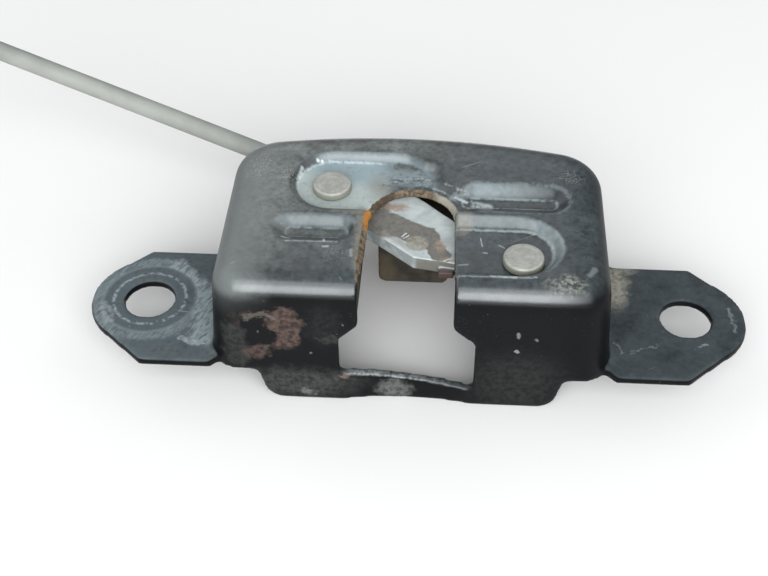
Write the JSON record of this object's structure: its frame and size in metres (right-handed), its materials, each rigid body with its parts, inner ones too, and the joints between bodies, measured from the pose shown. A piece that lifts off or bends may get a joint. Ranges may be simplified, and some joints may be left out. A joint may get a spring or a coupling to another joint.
{
  "type": "vehicle latch",
  "caption": "Rotary latch in a drawn black sheet-steel housing with two fixing ears, a claw waiting open in a striker slot, a pawl and a release rod.",
  "frame": {"origin": "midway between the two fixing holes, on the ears' mounting face", "axes": "+X along the line of the fixing holes, away from the rod; +Y the way the striker goes in; +Z out of the top face"},
  "size_m": [0.154, 0.0666, 0.0325],
  "materials": {
    "black_paint": "worn semi-matt black paint",
    "dark_steel": "dark browned steel",
    "rivet_steel": "dull worn steel",
    "plated_steel": "dull zinc plate",
    "spring_steel": "oiled spring wire",
    "claw_steel": "worn zinc-grey steel",
    "black_plastic": "matt",
    "rod_coating": "matt grey-olive coating"
  },
  "bodies": {
    "frame": {"housing": "black_paint", "base_plate": "dark_steel", "claw_pin": "rivet_steel", "pawl_pin": "rivet_steel", "pawl_washer": "plated_steel", "lever_spacer": "plated_steel", "pawl_spacer": "plated_steel", "retaining_clip": "spring_steel", "claw_spring": "spring_steel", "pawl_spring": "spring_steel"},
    "claw_body": {"claw": "claw_steel", "claw_stud": "plated_steel"},
    "pawl_body": {"pawl": "claw_steel", "pawl_stud": "plated_steel"},
    "lever_body": {"release_lever": "plated_steel", "rod_bush": "black_plastic"},
    "rod_body": {"release_rod": "rod_coating"}
  },
  "joints": [
    {"name": "claw_turn", "type": "hinge", "parent": "frame", "child": "claw_body", "pos_m": [-0.0147, 0.0117, 0.0152], "axis": [0, 0, 1], "range_deg": [0, 40], "stiffness_Nm_per_rad": 0.02, "springref_deg": -20.05},
    {"name": "pawl_turn", "type": "hinge", "parent": "frame", "child": "pawl_body", "pos_m": [0.0172, -0.0051, 0.0152], "axis": [0, 0, 1], "range_deg": [-3, 11.5], "stiffness_Nm_per_rad": 0.02},
    {"name": "lever_turn", "type": "hinge", "parent": "frame", "child": "lever_body", "pos_m": [-0.0147, 0.0117, 0.0064], "axis": [0, 0, 1], "range_deg": [-6.5, 1.8]},
    {"name": "rod_swivel", "type": "hinge", "parent": "lever_body", "child": "rod_body", "pos_m": [-0.0145, 0.0335, 0.0064], "axis": [0, 0, 1], "range_deg": [-1.8, 6.5]}
  ],
  "couplings": [
    {"joint": "lever_turn", "follows": "pawl_turn", "ratio": -0.55},
    {"joint": "rod_swivel", "follows": "pawl_turn", "ratio": 0.55}
  ]
}
